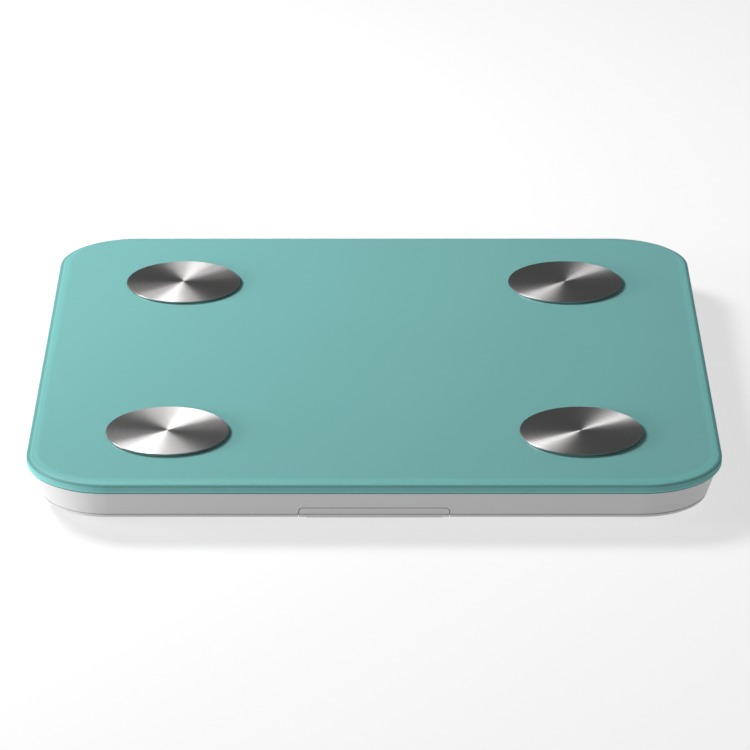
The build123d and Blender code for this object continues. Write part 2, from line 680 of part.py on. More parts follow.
def control_chip():
    """The bonded chip under its cap of black resin."""
    blob = Pos(CHIP_X, BOARD_AT + CHIP_Y, Z_PARTS + CHIP_TALL / 2) * Cylinder(CHIP_DIA / 2, CHIP_TALL)
    return fillet(blob.edges().group_by(Axis.Z)[-1], CHIP_EDGE)


def radio_module():
    y = BOARD_AT + MODULE_Y
    high = Z_PARTS + MODULE_CARD
    card = block(MODULE_X - MODULE_LONG / 2, MODULE_X + MODULE_LONG / 2, y - MODULE_WIDE / 2,
                 y + MODULE_WIDE / 2, Z_PARTS, high)
    can = slab(8.0, 7.0, 0.6, high, high + MODULE_CAN)
    return card + Pos(MODULE_X - 2, y) * can


def clock_crystal():
    can = slab(7.6, 3.0, 1.4, Z_PARTS, Z_PARTS + 2.2)
    return Pos(CRYSTAL_X, BOARD_AT + CRYSTAL_Y) * can


def chip_capacitors():
    """A row by the front edge and a row beside the radio module."""
    pieces = []
    high = Z_PARTS + CAPACITOR_TALL
    y = BOARD_AT - 20.5
    for i in range(5):
        x = i * CAPACITOR_PITCH - 24.0
        pieces.append(block(x, x + CAPACITOR, y, y + CAPACITOR_LONG, Z_PARTS, high))
    x = 22.0
    for i in range(3):
        y = BOARD_AT + i * CAPACITOR_PITCH - 14.0
        pieces.append(block(x, x + CAPACITOR_LONG, y, y + CAPACITOR, Z_PARTS, high))
    return group(pieces)


def side_plugs():
    """Wire connectors on both side edges of the board, in the order of the leads."""
    pieces = []
    for side in (-1, 1):
        for at, half in ((FRONT_CELL_PLUG, PLUG_HALF),
                         ((FRONT_DISC_PLUG + BACK_DISC_PLUG) / 2, WIDE_PLUG_HALF),
                         (BACK_CELL_PLUG, PLUG_HALF)):
            y = BOARD_AT + at
            pieces.append(block(side * (PLUG_X - CONNECTOR_DEEP), side * PLUG_X, y - half,
                                y + half, Z_PARTS, Z_PARTS + CONNECTOR_TALL))
    return group(pieces)


def battery_plug():
    front = BOARD_AT - BOARD_Y / 2 + 0.5
    return block(-4.5, 4.5, front, front + CONNECTOR_DEEP - 1, Z_PARTS, Z_PARTS + CONNECTOR_TALL)


def wire(points, diameter=WIRE_DIA, turn=WIRE_TURN):
    """A lead of straight runs joined by tangent arcs, flat at one level."""
    flat = [(x, y, Z_WIRE) for x, y in points]
    path = FilletPolyline(*flat, radius=turn) if len(flat) > 2 else Line(*flat)
    start = Plane(origin=path @ 0, z_dir=path % 0)
    return sweep(start * Circle(diameter / 2), path=path)


def load_cell_lead(corner, strand):
    """One of the three strands, -1, 0 or 1, from a load cell to its plug."""
    x, y = foot_at(corner)
    side, end = CORNERS[corner]
    off = strand * WIRE_PITCH
    inner_face = x - side * LOAD_CELL / 2
    if end < 0:
        plug = BOARD_AT + FRONT_CELL_PLUG + off
        lane = side * (LEAD_X + off)
        points = [(inner_face, y + off), (lane, y + off), (lane, plug), (side * PLUG_X, plug)]
        return wire(points)
    plug = BOARD_AT + BACK_CELL_PLUG - off
    lane = side * (BOARD_X / 2 + BACK_LANE + off)
    points = [(inner_face, y - off), (lane, y - off), (lane, plug), (side * PLUG_X, plug)]
    return wire(points)


def electrode_lead(corner):
    x, y = disc_at(corner)
    side, end = CORNERS[corner]
    start = x - side * (TERMINAL_DIA / 2 + 4)
    if end > 0:
        plug = BOARD_AT + BACK_DISC_PLUG
        if abs(plug - y) < 0.01:
            return wire([(start, y), (side * PLUG_X, plug)])
        lane = (start + side * PLUG_X) / 2
        return wire([(start, y), (lane, y), (lane, plug), (side * PLUG_X, plug)], turn=0.4)
    plug = BOARD_AT + FRONT_DISC_PLUG
    lane = side * DISC_LEAD_X
    return wire([(start, y), (lane, y), (lane, plug), (side * PLUG_X, plug)])


def battery_lead(side):
    """From a bay contact's tail at the bay's rear wall to the plug at the board's front."""
    start_y = BAY_REAR + BAY_WALL
    front = BOARD_AT - BOARD_Y / 2 + 0.5
    out = side * (BAY_X / 2 - 4)
    points = [(out, start_y), (out, start_y + 20), (side * BATTERY_WIRE_X, start_y + 55),
              (side * BATTERY_WIRE_X, front)]
    return wire(points, turn=BATTERY_WIRE_TURN)


def switch_body():
    x, y = BUTTON_X, BOARD_AT + BUTTON_Y
    half = SWITCH_SIDE / 2
    body = block(x - half, x + half, y - half, y + half, Z_SWITCH, Z_BOARD)
    return body - drum(PLUNGER_DIA / 2 + 0.2, Z_SWITCH - 1, Z_SWITCH + BUTTON_TRAVEL + 1, x, y)


def switch_plunger():
    x, y = BUTTON_X, BOARD_AT + BUTTON_Y
    low = Z_SWITCH - BUTTON_TRAVEL - PLUNGER_OUT
    return drum(PLUNGER_DIA / 2, low, Z_SWITCH + 0.8, x, y)


def unit_button():
    """Pressed from under the base to change between units."""
    x, y = BUTTON_X, BOARD_AT + BUTTON_Y
    top = Z_SWITCH - BUTTON_TRAVEL - PLUNGER_OUT
    cap = drum(BUTTON_DIA / 2, Z_BUTTON, Z_FLOOR + BUTTON_FLANGE_THICK, x, y)
    cap = fillet(cap.edges().group_by(Axis.Z)[0], BUTTON_EDGE)
    cap += drum(BUTTON_DIA / 2 + BUTTON_FLANGE, Z_FLOOR + FIT, Z_FLOOR + BUTTON_FLANGE_THICK, x, y)
    return cap + drum(BUTTON_DIA / 4, Z_FLOOR + 0.5, top, x, y)


def rating_label():
    """A blank label stuck under the base."""
    label = slab(LABEL_X, LABEL_Y, 2.0, Z_BASE - LABEL_THICK, Z_BASE)
    return Pos(0, -LABEL_Y / 2) * label


# ---- write every node ----------------------------------------------------------------------
def nodes():
    made = {"glass_platform": glass_platform(), "printed_coat": printed_coat(),
            "bonding_tape": bonding_tape(), "base_shell": base_shell(),
            "battery_door": battery_door(), "main_board": main_board(),
            "display_housing": display_housing(), "display_segments": display_segments(),
            "control_chip": control_chip(), "radio_module": radio_module(),
            "clock_crystal": clock_crystal(), "chip_capacitors": chip_capacitors(),
            "side_plugs": side_plugs(), "battery_plug": battery_plug(),
            "switch_body": switch_body(), "switch_plunger": switch_plunger(),
            "unit_button": unit_button(), "rating_label": rating_label()}
    for corner in CORNERS:
        made["electrode_disc_" + corner] = electrode_disc(corner)
        made["load_cell_" + corner] = load_cell(corner)
        made["foot_cap_" + corner] = foot_cap(corner)
        made["foot_pad_" + corner] = foot_pad(corner)
    for index in range(CELL_COUNT):
        made["dry_cell_" + str(index + 1)] = dry_cell(index)
    sets = {"electrode_seals": electrode_seal, "stud_bushes": stud_bush, "stud_nuts": stud_nut,
            "ring_terminals": ring_terminal, "foot_keepers": foot_keeper,
            "strain_gauges": strain_gauges, "load_cell_retainers": load_cell_retainer,
            "electrode_leads": electrode_lead}
    for name, make in sets.items():
        made[name] = group([make(corner) for corner in CORNERS])
    for name, strand in (("load_cell_leads_red", -1), ("load_cell_leads_white", 0),
                         ("load_cell_leads_black", 1)):
        made[name] = group([load_cell_lead(corner, strand) for corner in CORNERS])
    made["battery_lead_red"] = battery_lead(1)
    made["battery_lead_black"] = battery_lead(-1)
    made["plus_contacts"] = group([plus_contact(index) for index in range(CELL_COUNT)])
    made["minus_springs"] = group([minus_spring(index) for index in range(CELL_COUNT)])
    made["keeper_screws"] = group([keeper_screw(place) for corner in CORNERS
                                   for place in keeper_screw_places(corner)])
    made["board_screws"] = group([board_screw(place) for place in board_screw_places()])
    return made


os.makedirs("parts", exist_ok=True)
for node, shape in nodes().items():
    export_step(shape, "parts/" + node + ".step")
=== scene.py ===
"""Square glass bathroom scale: clear glass over a teal coat, spun steel electrodes, satin white base."""
import bmesh
import bpy
import math
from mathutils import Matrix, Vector


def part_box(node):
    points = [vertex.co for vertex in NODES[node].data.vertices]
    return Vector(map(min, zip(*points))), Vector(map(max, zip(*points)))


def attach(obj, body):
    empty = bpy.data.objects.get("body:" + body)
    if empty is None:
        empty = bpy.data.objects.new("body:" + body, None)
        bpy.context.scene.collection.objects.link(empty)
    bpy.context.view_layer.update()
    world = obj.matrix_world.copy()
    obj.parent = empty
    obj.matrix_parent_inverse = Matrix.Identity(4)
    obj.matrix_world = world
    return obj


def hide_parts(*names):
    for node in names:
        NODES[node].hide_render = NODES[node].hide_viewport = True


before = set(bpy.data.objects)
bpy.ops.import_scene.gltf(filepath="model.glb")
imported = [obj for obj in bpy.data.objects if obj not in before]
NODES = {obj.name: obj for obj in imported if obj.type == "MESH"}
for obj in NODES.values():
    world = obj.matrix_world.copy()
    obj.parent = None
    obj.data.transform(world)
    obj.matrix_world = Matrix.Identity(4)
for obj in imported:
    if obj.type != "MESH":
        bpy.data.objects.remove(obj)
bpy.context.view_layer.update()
MM = 0.001
CORNERS = ("front_left", "front_right", "back_left", "back_right")

# ---- camera ---------------------------------------------------------------------------------
PLATE_LOW, PLATE_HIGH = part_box("glass_platform")
CAMERA_BACK = 1.8864          # from the platform's middle, along the floor
CAMERA_RISE = 0.7609          # above the glass
CAMERA_PITCH = 22.272         # degrees below level
CAMERA_LENS = 214.9
CAMERA_SHIFT = 0.0011
CAMERA_REACH = (0.05, 60.0)
SENSOR = 36.0


def make_camera():
    data = bpy.data.cameras.new("camera")
    data.lens, data.sensor_width = CAMERA_LENS, SENSOR
    data.shift_x = CAMERA_SHIFT
    data.clip_start, data.clip_end = CAMERA_REACH
    camera = bpy.data.objects.new("camera", data)
    camera.location = (0.0, -CAMERA_BACK, PLATE_HIGH[2] + CAMERA_RISE)
    camera.rotation_euler = (math.radians(90.0 - CAMERA_PITCH), 0.0, 0.0)
    bpy.context.collection.objects.link(camera)
    bpy.context.scene.camera = camera


# ---- sizes ----------------------------------------------------------------------------------
PLATE_CORNER = 36.0 * MM
ARRIS = 1.0 * MM              # round of the plate's lower edge
ROLL_WIDE = 7.0 * MM          # the glass's top rolls off over this width
ROLL_DEEP = 1.8 * MM
CORE_ROLL_WIDE = 3.0 * MM     # the colour inside rolls off less
CORE_ROLL_DEEP = 0.4 * MM
FLAT_MARGIN = 1.0 * MM        # plain ring between the roll and the filled face
SKIN = 0.25 * MM              # clear glass outside the colour
COLOUR_UNDER = 1.2 * MM       # clear glass over it
STUD_HOLE = 3.05 * MM
CORNER_STEPS = 28
EDGE_STEPS = 6
ROLL_STEPS = 18
HOLE_STEPS = 32

STUD_RADIUS = 2.0 * MM
STUD_CHAMFER = 0.3 * MM
STUD_LEDGE = 0.05 * MM
DISC_LOWER_BEVEL = 0.15 * MM
DISC_BEVEL = 0.38 * MM
DISC_BEVEL_STEPS = 5
UNDER_RINGS = (0.3, 0.6, 0.9)                            # shares of the disc's radius
FACE_RINGS = (0.975, 0.8, 0.6, 0.4, 0.2, 0.08, 0.02)
LATHE_STEPS = 160

CELL_NUB = 1.0 * MM
CELL_BARE = 0.5 * MM          # bare steel at each end of a dry cell
CELL_BAND = 11.0 * MM         # copper band, from the nub's tip
TRACE_PITCH = 0.9 * MM
TRACE_SHARE = 0.35            # of the pitch
TRACE_PATCH = 0.48            # traces run where a cloud is above this
LABEL_BORDER = 1.2 * MM
LABEL_LINE = 0.3 * MM

PLUG_PINS = ((-14.25 * MM, 3), (-6.0 * MM, 6), (9.75 * MM, 3))    # (first pin, pins) of each plug
PIN_PITCH = 1.25 * MM
PIN_FROM_MIDDLE = 32.0 * MM
DISPLAY_PINS = 10
DISPLAY_PIN_PITCH = 5.08 * MM
DISPLAY_BACK = 7.0 * MM
DISPLAY_ROW = 8.0 * MM
JOINT_RADIUS = 0.3 * MM
JOINT_TALL = 0.6 * MM
STUD_SIDES = 12
STUD_SCALES = (0.92, 1.0)
STUD_SEED = 5


# ---- shader helpers -------------------------------------------------------------------------
class Value:
    """A socket that takes part in Python arithmetic; each operator adds one Math node."""

    def __init__(self, tree, socket):
        self.tree, self.socket = tree, socket

    def math(self, operation, *others):
        node = self.tree.nodes.new("ShaderNodeMath")
        node.operation = operation
        for slot, item in zip(node.inputs, others):
            feed(self.tree, slot, item)
        return Value(self.tree, node.outputs[0])

    def __add__(self, other):
        return self.math("ADD", self, other)

    def __radd__(self, other):
        return self.math("ADD", other, self)

    def __sub__(self, other):
        return self.math("SUBTRACT", self, other)

    def __rsub__(self, other):
        return self.math("SUBTRACT", other, self)

    def __mul__(self, other):
        return self.math("MULTIPLY", self, other)

    def __rmul__(self, other):
        return self.math("MULTIPLY", other, self)

    def __truediv__(self, other):
        return self.math("DIVIDE", self, other)

    def __rtruediv__(self, other):
        return self.math("DIVIDE", other, self)

    def above(self, limit):
        return self.math("GREATER_THAN", self, limit)

    def below(self, limit):
        return self.math("LESS_THAN", self, limit)

    def most(self, other):
        return self.math("MAXIMUM", self, other)

    def least(self, other):
        return self.math("MINIMUM", self, other)

    def size(self):
        return self.math("ABSOLUTE", self)

    def root(self):
        return self.math("SQRT", self)


def feed(tree, slot, item):
    if isinstance(item, Value):
        tree.links.new(item.socket, slot)
    elif slot.type == "RGBA" and len(item) == 3:
        slot.default_value = (*item, 1.0)
    else:
        slot.default_value = item


class Finish:
    """One material's node tree."""

    def __init__(self, name):
        self.material = bpy.data.materials.new(name)
        self.material.use_nodes = True
        self.tree = self.material.node_tree
        self.tree.nodes.clear()
        self.output = self.tree.nodes.new("ShaderNodeOutputMaterial")

    def node(self, kind, settings=None, out=0, **sockets):
        """Adds a node, sets it, then feeds its sockets by name (spaces as underscores)."""
        made = self.tree.nodes.new("ShaderNode" + kind)
        for key, setting in (settings or {}).items():
            if key == "stops":
                ramp = made.color_ramp
                while len(ramp.elements) < len(setting):
                    ramp.elements.new(1.0)
                for element, (place, level) in zip(ramp.elements, setting):
                    element.position = place
                    element.color = (level, level, level, 1.0)
            else:
                setattr(made, key, setting)
        for key, item in sockets.items():
            if key[0] == "n" and key[1:].isdigit():
                feed(self.tree, made.inputs[int(key[1:])], item)
            else:
                feed(self.tree, made.inputs[key.replace("_", " ")], item)
        return Value(self.tree, made.outputs[out])

    def place(self):
        return self.node("TexCoord", out=3)

    def split(self, vector):
        made = self.tree.nodes.new("ShaderNodeSeparateXYZ")
        feed(self.tree, made.inputs[0], vector)
        return [Value(self.tree, made.outputs[i]) for i in range(3)]

    def noise(self, vector, scale, detail=3.0, rough=0.5):
        return self.node("TexNoise", Vector=vector, Scale=scale, Detail=detail, Roughness=rough)

    def levels(self, value, stops):
        """A grey ramp from (place, level) pairs."""
        return self.node("ValToRGB", {"stops": stops}, Fac=value)

    def blend(self, share, first, second):
        return self.node("Mix", {"data_type": "RGBA"}, out=2, n0=share, n6=first, n7=second)

    def bump(self, height, strength, distance):
        return self.node("Bump", Strength=strength, Distance=distance, Height=height)

    def surface(self, colour, rough, **sockets):
        shader = self.node("BsdfPrincipled", Base_Color=colour, Roughness=rough, **sockets)
        self.tree.links.new(shader.socket, self.output.inputs["Surface"])
        return self.material


# ---- materials ------------------------------------------------------------------------------
TEAL = (0.171, 0.408, 0.398)
TEAL_PAINTED_SHADE = (0.49, 0.51)          # shares of the teal at tone 0, the painted shade, in the cloud's dips and peaks
TEAL_PAINTED_LIGHT = (1.175, 1.225)        # and at tone 1, the painted highlight
STEEL_DARK = (0.55, 0.54, 0.535)
STEEL_LIGHT = (0.66, 0.65, 0.645)
GLASS_TINT = (0.97, 1.0, 0.995)
GLASS_IOR = 1.5
GLASS_GLOSS = 0.30
RING_SCALE = 5200.0               # noise scale of the turned rings, fine and coarse
COARSE_RING_SCALE = 700.0
RING_RELIEF = 0.04 * MM
RING_STRETCH = 0.93               # how far reflections fan out across the rings
RING_TURN = 0.25
GRAIN_RELIEF = 0.05 * MM
PEEL_RELIEF = 0.06 * MM
PAPER_RELIEF = 0.03 * MM

# (share of the glass's height, roughness): satin ground edge, polished top
GLASS_ROUGHNESS = ((0.0, 0.36), (0.93, 0.36), (0.995, 0.04), (1.0, 0.02))
# (share of the glass's height, share of the surface that gives no gloss)
EDGE_MATT = ((0.0, 0.9), (0.97, 0.9), (0.998, 0.0), (1.0, 0.0))
# (share of the glass's height, tone): painted shadow as a dark seam, painted highlight as a light bevel,
# painted shade on the wall and as a dark shoulder
COAT_PAINTED_SHADING = ((0.0, 0.12), (0.09, 0.12), (0.13, 0.92), (0.23, 0.92), (0.30, 0.74), (0.58, 0.70),
              (0.66, 0.30))
TOP_FROM = 0.66                   # above this share of the height, the tone goes by the inset
# (inset from the plate's outline, tone): painted shade as a dark rim, a painted highlight as a thin
# light line, painted shade as a faint dark band, flat top
TOP_PAINTED_SHADING = ((0.4 * MM, 0.22), (1.4 * MM, 0.22), (2.0 * MM, 0.74), (3.0 * MM, 0.68),
             (4.0 * MM, 0.69), (7.0 * MM, 0.714))
TOP_REACH = 8.0 * MM


def share_of_height(z):
    return (z - PLATE_LOW[2]) / (PLATE_HIGH[2] - PLATE_LOW[2])


def clear_glass():
    """Clear float glass that lets shadow and diffuse rays straight through."""
    f = Finish("clear_glass")
    height = share_of_height(f.split(f.place())[2])
    pane = f.node("BsdfPrincipled", Base_Color=GLASS_TINT, IOR=GLASS_IOR,
                  Roughness=f.levels(height, GLASS_ROUGHNESS),
                  Transmission_Weight=1.0, Specular_IOR_Level=GLASS_GLOSS)
    open_way = f.node("BsdfTransparent", Color=GLASS_TINT)
    shadow = f.node("LightPath", out=1)
    bounce = Value(f.tree, shadow.socket.node.outputs["Is Diffuse Ray"])
    matt = f.levels(height, EDGE_MATT)
    both = f.node("MixShader", n0=shadow.most(bounce).most(matt), n1=pane, n2=open_way)
    f.tree.links.new(both.socket, f.output.inputs["Surface"])
    return f.material


def teal_coat():
    """The colour, with painted shade and painted highlights up the plate's edge and round the rim of the
    top, even over the rest of the flat top.
    """
    f = Finish("teal_coat")
    at = f.place()
    x, y, z = f.split(at)
    height = share_of_height(z)
    # painted shade and highlight up the plate's edge, by height
    wall_painted_shading = f.levels(height, COAT_PAINTED_SHADING)
    # inset from the plate's outline, for the painted shade and highlight round the top's rim
    past_x = x.size() - (PLATE_HIGH[0] - PLATE_CORNER)
    past_y = y.size() - (PLATE_HIGH[1] - PLATE_CORNER)
    over_x = past_x.most(0.0)
    over_y = past_y.most(0.0)
    round_corner = (over_x * over_x + over_y * over_y).root()
    inset = PLATE_CORNER - round_corner - past_x.most(past_y).least(0.0)
    top_painted_shading = f.levels(inset / TOP_REACH, [(place / TOP_REACH, tone) for place, tone in TOP_PAINTED_SHADING])
    # painted shade and highlight: by height on the edge, by inset on the top
    painted_shading = f.blend(height.above(TOP_FROM), wall_painted_shading, top_painted_shading)
    cloud = f.noise(at, 14.0)
    grain = f.noise(at, 900.0, 2.0)
    # shaded and lit copies of the teal: painted shade at tone 0, painted highlight at tone 1
    deep = f.blend(cloud, *[[c * share for c in TEAL] for share in TEAL_PAINTED_SHADE])
    painted_lit_teal = f.blend(cloud, *[[c * share for c in TEAL] for share in TEAL_PAINTED_LIGHT])
    return f.surface(f.blend(painted_shading, deep, painted_lit_teal), 0.5 + 0.08 * grain, Specular_IOR_Level=0.0)


def spun_steel(name, centre):
    """Face-turned steel: fine rings round the disc's middle, stretched across the cut."""
    f = Finish("spun_steel_" + name)
    at = f.place()
    x, y, _ = f.split(at)
    from_x = x - centre[0]
    from_y = y - centre[1]
    radius = (from_x * from_x + from_y * from_y).root()
    rings = f.node("TexNoise", {"noise_dimensions": "1D"}, W=radius, Scale=RING_SCALE,
                   Detail=3.0, Roughness=0.7)
    coarse = f.node("TexNoise", {"noise_dimensions": "1D"}, W=radius, Scale=COARSE_RING_SCALE,
                    Detail=2.0)
    cloud = f.noise(at, 160.0, 2.0)
    tone = f.blend(coarse * 0.7 + cloud * 0.3, STEEL_DARK, STEEL_LIGHT)
    rough = 0.40 + 0.08 * rings
    normal = f.bump(rings, 0.20, RING_RELIEF)
    return f.surface(tone, rough, Metallic=1.0, Anisotropic=RING_STRETCH,
                     Anisotropic_Rotation=RING_TURN, Normal=normal)


def satin_abs(name, colour):
    """Moulded plastic with a fine orange-peel face."""
    f = Finish(name)
    at = f.place()
    peel = f.noise(at, 2600.0, 2.0, 0.6)
    cloud = f.noise(at, 35.0)
    tone = f.blend(cloud, [c * 0.985 for c in colour], colour)
    return f.surface(tone, 0.38 + 0.08 * peel, Normal=f.bump(peel, 0.10, PEEL_RELIEF))


def plain(name, colour, rough, metal=0.0, scale=600.0, depth=0.15):
    """One colour with a grain in its tone, roughness and relief."""
    f = Finish(name)
    at = f.place()
    grain = f.noise(at, scale)
    tone = f.blend(grain, [c * 0.88 for c in colour], colour)
    return f.surface(tone, rough * 0.9 + 0.2 * rough * grain, Metallic=metal,
                     Normal=f.bump(grain, depth, GRAIN_RELIEF))


# ---- shapes ---------------------------------------------------------------------------------
def new_piece(name, bm, material):
    mesh = bpy.data.meshes.new(name)
    bmesh.ops.recalc_face_normals(bm, faces=bm.faces)
    bm.to_mesh(mesh)
    bm.free()
    piece = bpy.data.objects.new(name, mesh)
    mesh.materials.append(material)
    bpy.context.collection.objects.link(piece)
    for polygon in mesh.polygons:
        polygon.use_smooth = True
    return piece


def weigh_normals(piece):
    modifier = piece.modifiers.new("weigh", "WEIGHTED_NORMAL")
    modifier.mode, modifier.weight, modifier.keep_sharp = "FACE_AREA", 100, True


def rounded_square(half_x, half_y, radius):
    """Points round a rectangle with round corners, anticlockwise."""
    points = []
    for quarter in range(4):
        side_x = 1 if quarter in (0, 3) else -1
        side_y = 1 if quarter in (0, 1) else -1
        for step in range(CORNER_STEPS + 1):
            angle = (quarter + step / CORNER_STEPS) * math.pi / 2
            points.append((side_x * (half_x - radius) + radius * math.cos(angle),
                           side_y * (half_y - radius) + radius * math.sin(angle)))
    return points


def circle(centre, radius, steps):
    turns = [2 * math.pi * i / steps for i in range(steps)]
    return [(centre[0] + radius * math.cos(turn), centre[1] + radius * math.sin(turn))
            for turn in turns]


def ring_of(bm, points, z):
    return [bm.verts.new((x, y, z)) for x, y in points]


def edges_of(bm, loop):
    return [bm.edges.get((loop[i], loop[(i + 1) % len(loop)])) for i in range(len(loop))]


def bridge(bm, low, high):
    count = len(low)
    for i in range(count):
        j = (i + 1) % count
        bm.faces.new((low[i], low[j], high[j], high[i]))


def slab_with_holes(name, outlines, holes, material):
    """A slab from a stack of (points, z) outlines, with round holes (x, y, radius) through it."""
    bm = bmesh.new()
    rings = [ring_of(bm, points, z) for points, z in outlines]
    for low, high in zip(rings, rings[1:]):
        bridge(bm, low, high)
    low_z, high_z = outlines[0][1], outlines[-1][1]
    tubes = []
    for x, y, radius in holes:
        points = circle((x, y), radius, HOLE_STEPS)
        low = ring_of(bm, points, low_z)
        high = ring_of(bm, points, high_z)
        bridge(bm, high, low)
        tubes.append((low, high))
        for edge in edges_of(bm, low) + edges_of(bm, high):
            edge.smooth = False
    for face_rings in ([rings[0]] + [low for low, high in tubes],
                       [rings[-1]] + [high for low, high in tubes]):
        edges = [edge for loop in face_rings for edge in edges_of(bm, loop)]
        bmesh.ops.triangle_fill(bm, use_beauty=True, use_dissolve=False, edges=edges)
    piece = new_piece(name, bm, material)
    weigh_normals(piece)
    return piece


def disc_centre(corner):
    low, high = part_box("electrode_disc_" + corner)
    return (low[0] + high[0]) / 2, (low[1] + high[1]) / 2


def stud_holes(radius):
    return [(*disc_centre(corner), radius) for corner in CORNERS]


def edge_profile(inside, under, wide, deep):
    """(inset, z) from the underside to the flat top, inside the wall and under the top face."""
    low = PLATE_LOW[2] + inside
    high = PLATE_HIGH[2] - under
    radius = ARRIS - inside
    profile = []
    for step in range(EDGE_STEPS + 1):
        angle = math.pi / 2 * step / EDGE_STEPS
        profile.append((inside + radius * (1 - math.sin(angle)),
                        low + radius * (1 - math.cos(angle))))
    for step in range(ROLL_STEPS + 1):
        angle = math.pi / 2 * step / ROLL_STEPS
        profile.append((inside + (wide - inside) * (1 - math.cos(angle)),
                        high - deep * (1 - math.sin(angle))))
    profile.append((ROLL_WIDE + FLAT_MARGIN, high))
    return profile


def plate_outlines(profile):
    half_x, half_y = PLATE_HIGH[0], PLATE_HIGH[1]
    return [(rounded_square(half_x - inset, half_y - inset, PLATE_CORNER - inset), z)
            for inset, z in profile]


def make_glass():
    profile = edge_profile(0.0, 0.0, ROLL_WIDE, ROLL_DEEP)
    piece = slab_with_holes("glass_slab", plate_outlines(profile), stud_holes(STUD_HOLE),
                            clear_glass())
    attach(piece, "scale")
    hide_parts("glass_platform")


def make_coat():
    """The colour: a core that fills the glass to just under its skin."""
    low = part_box("printed_coat")[0][2]
    profile = [(ARRIS, low), (ARRIS, PLATE_LOW[2] + SKIN / 2)]
    profile += edge_profile(SKIN, COLOUR_UNDER, CORE_ROLL_WIDE, CORE_ROLL_DEEP)
    piece = slab_with_holes("colour_coat", plate_outlines(profile), stud_holes(STUD_HOLE + SKIN),
                            teal_coat())
    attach(piece, "scale")
    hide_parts("printed_coat")


# ---- electrode discs ------------------------------------------------------------------------
def lathe(name, profile, centre, material):
    """Turns a profile of (radius, z) points, from axis to axis, round an upright axis."""
    bm = bmesh.new()
    rings = []
    for radius, z in profile:
        if radius == 0.0:
            rings.append([bm.verts.new((centre[0], centre[1], z))])
            continue
        rings.append(ring_of(bm, circle(centre, radius, LATHE_STEPS), z))
    for low, high in zip(rings, rings[1:]):
        if len(low) == 1 or len(high) == 1:
            tip, loop = (low[0], high) if len(low) == 1 else (high[0], low)
            for i in range(LATHE_STEPS):
                bm.faces.new((tip, loop[i], loop[(i + 1) % LATHE_STEPS]))
        else:
            bridge(bm, low, high)
    return new_piece(name, bm, material)


def make_disc(corner):
    low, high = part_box("electrode_disc_" + corner)
    seal_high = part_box("electrode_seals")[1][2]
    centre = disc_centre(corner)
    radius = (high[0] - low[0]) / 2
    profile = [(0.0, low[2]), (STUD_RADIUS - STUD_CHAMFER, low[2]),
               (STUD_RADIUS, low[2] + STUD_CHAMFER), (STUD_RADIUS, seal_high),
               (STUD_RADIUS + STUD_LEDGE, seal_high)]
    profile += [(radius * share, seal_high) for share in UNDER_RINGS]
    profile += [(radius - DISC_LOWER_BEVEL, seal_high), (radius, seal_high + DISC_LOWER_BEVEL)]
    for step in range(DISC_BEVEL_STEPS + 1):
        angle = math.pi / 2 * step / DISC_BEVEL_STEPS
        profile.append((radius - DISC_BEVEL * (1 - math.cos(angle)),
                        high[2] - DISC_BEVEL * (1 - math.sin(angle))))
    profile += [(radius * share, high[2]) for share in FACE_RINGS]
    profile += [(0.0, high[2])]
    piece = lathe("spun_disc_" + corner, profile, centre, spun_steel(corner, centre))
    weigh_normals(piece)
    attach(piece, "scale")
    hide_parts("electrode_disc_" + corner)


# ---- carried-over parts ---------------------------------------------------------------------
def dress(node, material):
    piece = NODES[node]
    piece.data.materials.clear()
    piece.data.materials.append(material)


def dry_cell_finish(number):
    """A black sleeve with a copper band at the nub end and bare steel at both ends."""
    f = Finish("cell_sleeve_%d" % number)
    low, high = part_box("dry_cell_%d" % number)
    x = f.split(f.place())[0]
    from_nub = (high[0] - x) if number % 2 == 1 else (x - low[0])
    length = high[0] - low[0]
    bare = from_nub.below(CELL_BARE + CELL_NUB).most(from_nub.above(length - CELL_BARE))
    band = from_nub.below(CELL_BAND)
    grain = f.noise(f.place(), 900.0)
    sleeve = f.blend(band, (0.018, 0.018, 0.02), (0.52, 0.27, 0.12))
    steel = f.blend(grain, (0.52, 0.52, 0.51), (0.66, 0.66, 0.65))
    tone = f.blend(bare, sleeve, steel)
    rough = 0.30 + 0.10 * grain - 0.05 * bare
    return f.surface(tone, rough, Metallic=bare.most(band * 0.8),
                     Normal=f.bump(grain, 0.05, GRAIN_RELIEF))


def board_finish():
    """Solder mask with darker bare ground and raised traces."""
    f = Finish("board_green")
    at = f.place()
    y = f.split(at)[1]
    run = f.noise(at, 90.0, 1.0)
    lane = (y / TRACE_PITCH + run * 2.0).math("FRACT")
    trace = lane.below(TRACE_SHARE) * f.noise(at, 55.0, 0.0).above(TRACE_PATCH)
    grain = f.noise(at, 1500.0)
    tone = f.blend(trace, (0.012, 0.085, 0.035), (0.022, 0.16, 0.065))
    relief = f.bump(trace + 0.2 * grain, 0.4, GRAIN_RELIEF)
    return f.surface(tone, 0.30 + 0.12 * grain, Normal=relief)


def label_finish():
    """Blank paper with a thin printed border."""
    f = Finish("label_paper")
    at = f.place()
    x, y, _ = f.split(at)
    low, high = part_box("rating_label")
    from_side = (x - (low[0] + high[0]) / 2).size() - (high[0] - low[0]) / 2
    from_end = (y - (low[1] + high[1]) / 2).size() - (high[1] - low[1]) / 2
    edge = from_side.most(from_end)
    border = edge.above(-LABEL_BORDER - LABEL_LINE) * edge.below(-LABEL_BORDER)
    fibre = f.noise(at, 1800.0, 4.0)
    paper = f.blend(fibre, (0.74, 0.74, 0.72), (0.82, 0.82, 0.81))
    tone = f.blend(border, paper, (0.12, 0.12, 0.13))
    return f.surface(tone, 0.55 + 0.10 * fibre, Normal=f.bump(fibre, 0.1, PAPER_RELIEF))


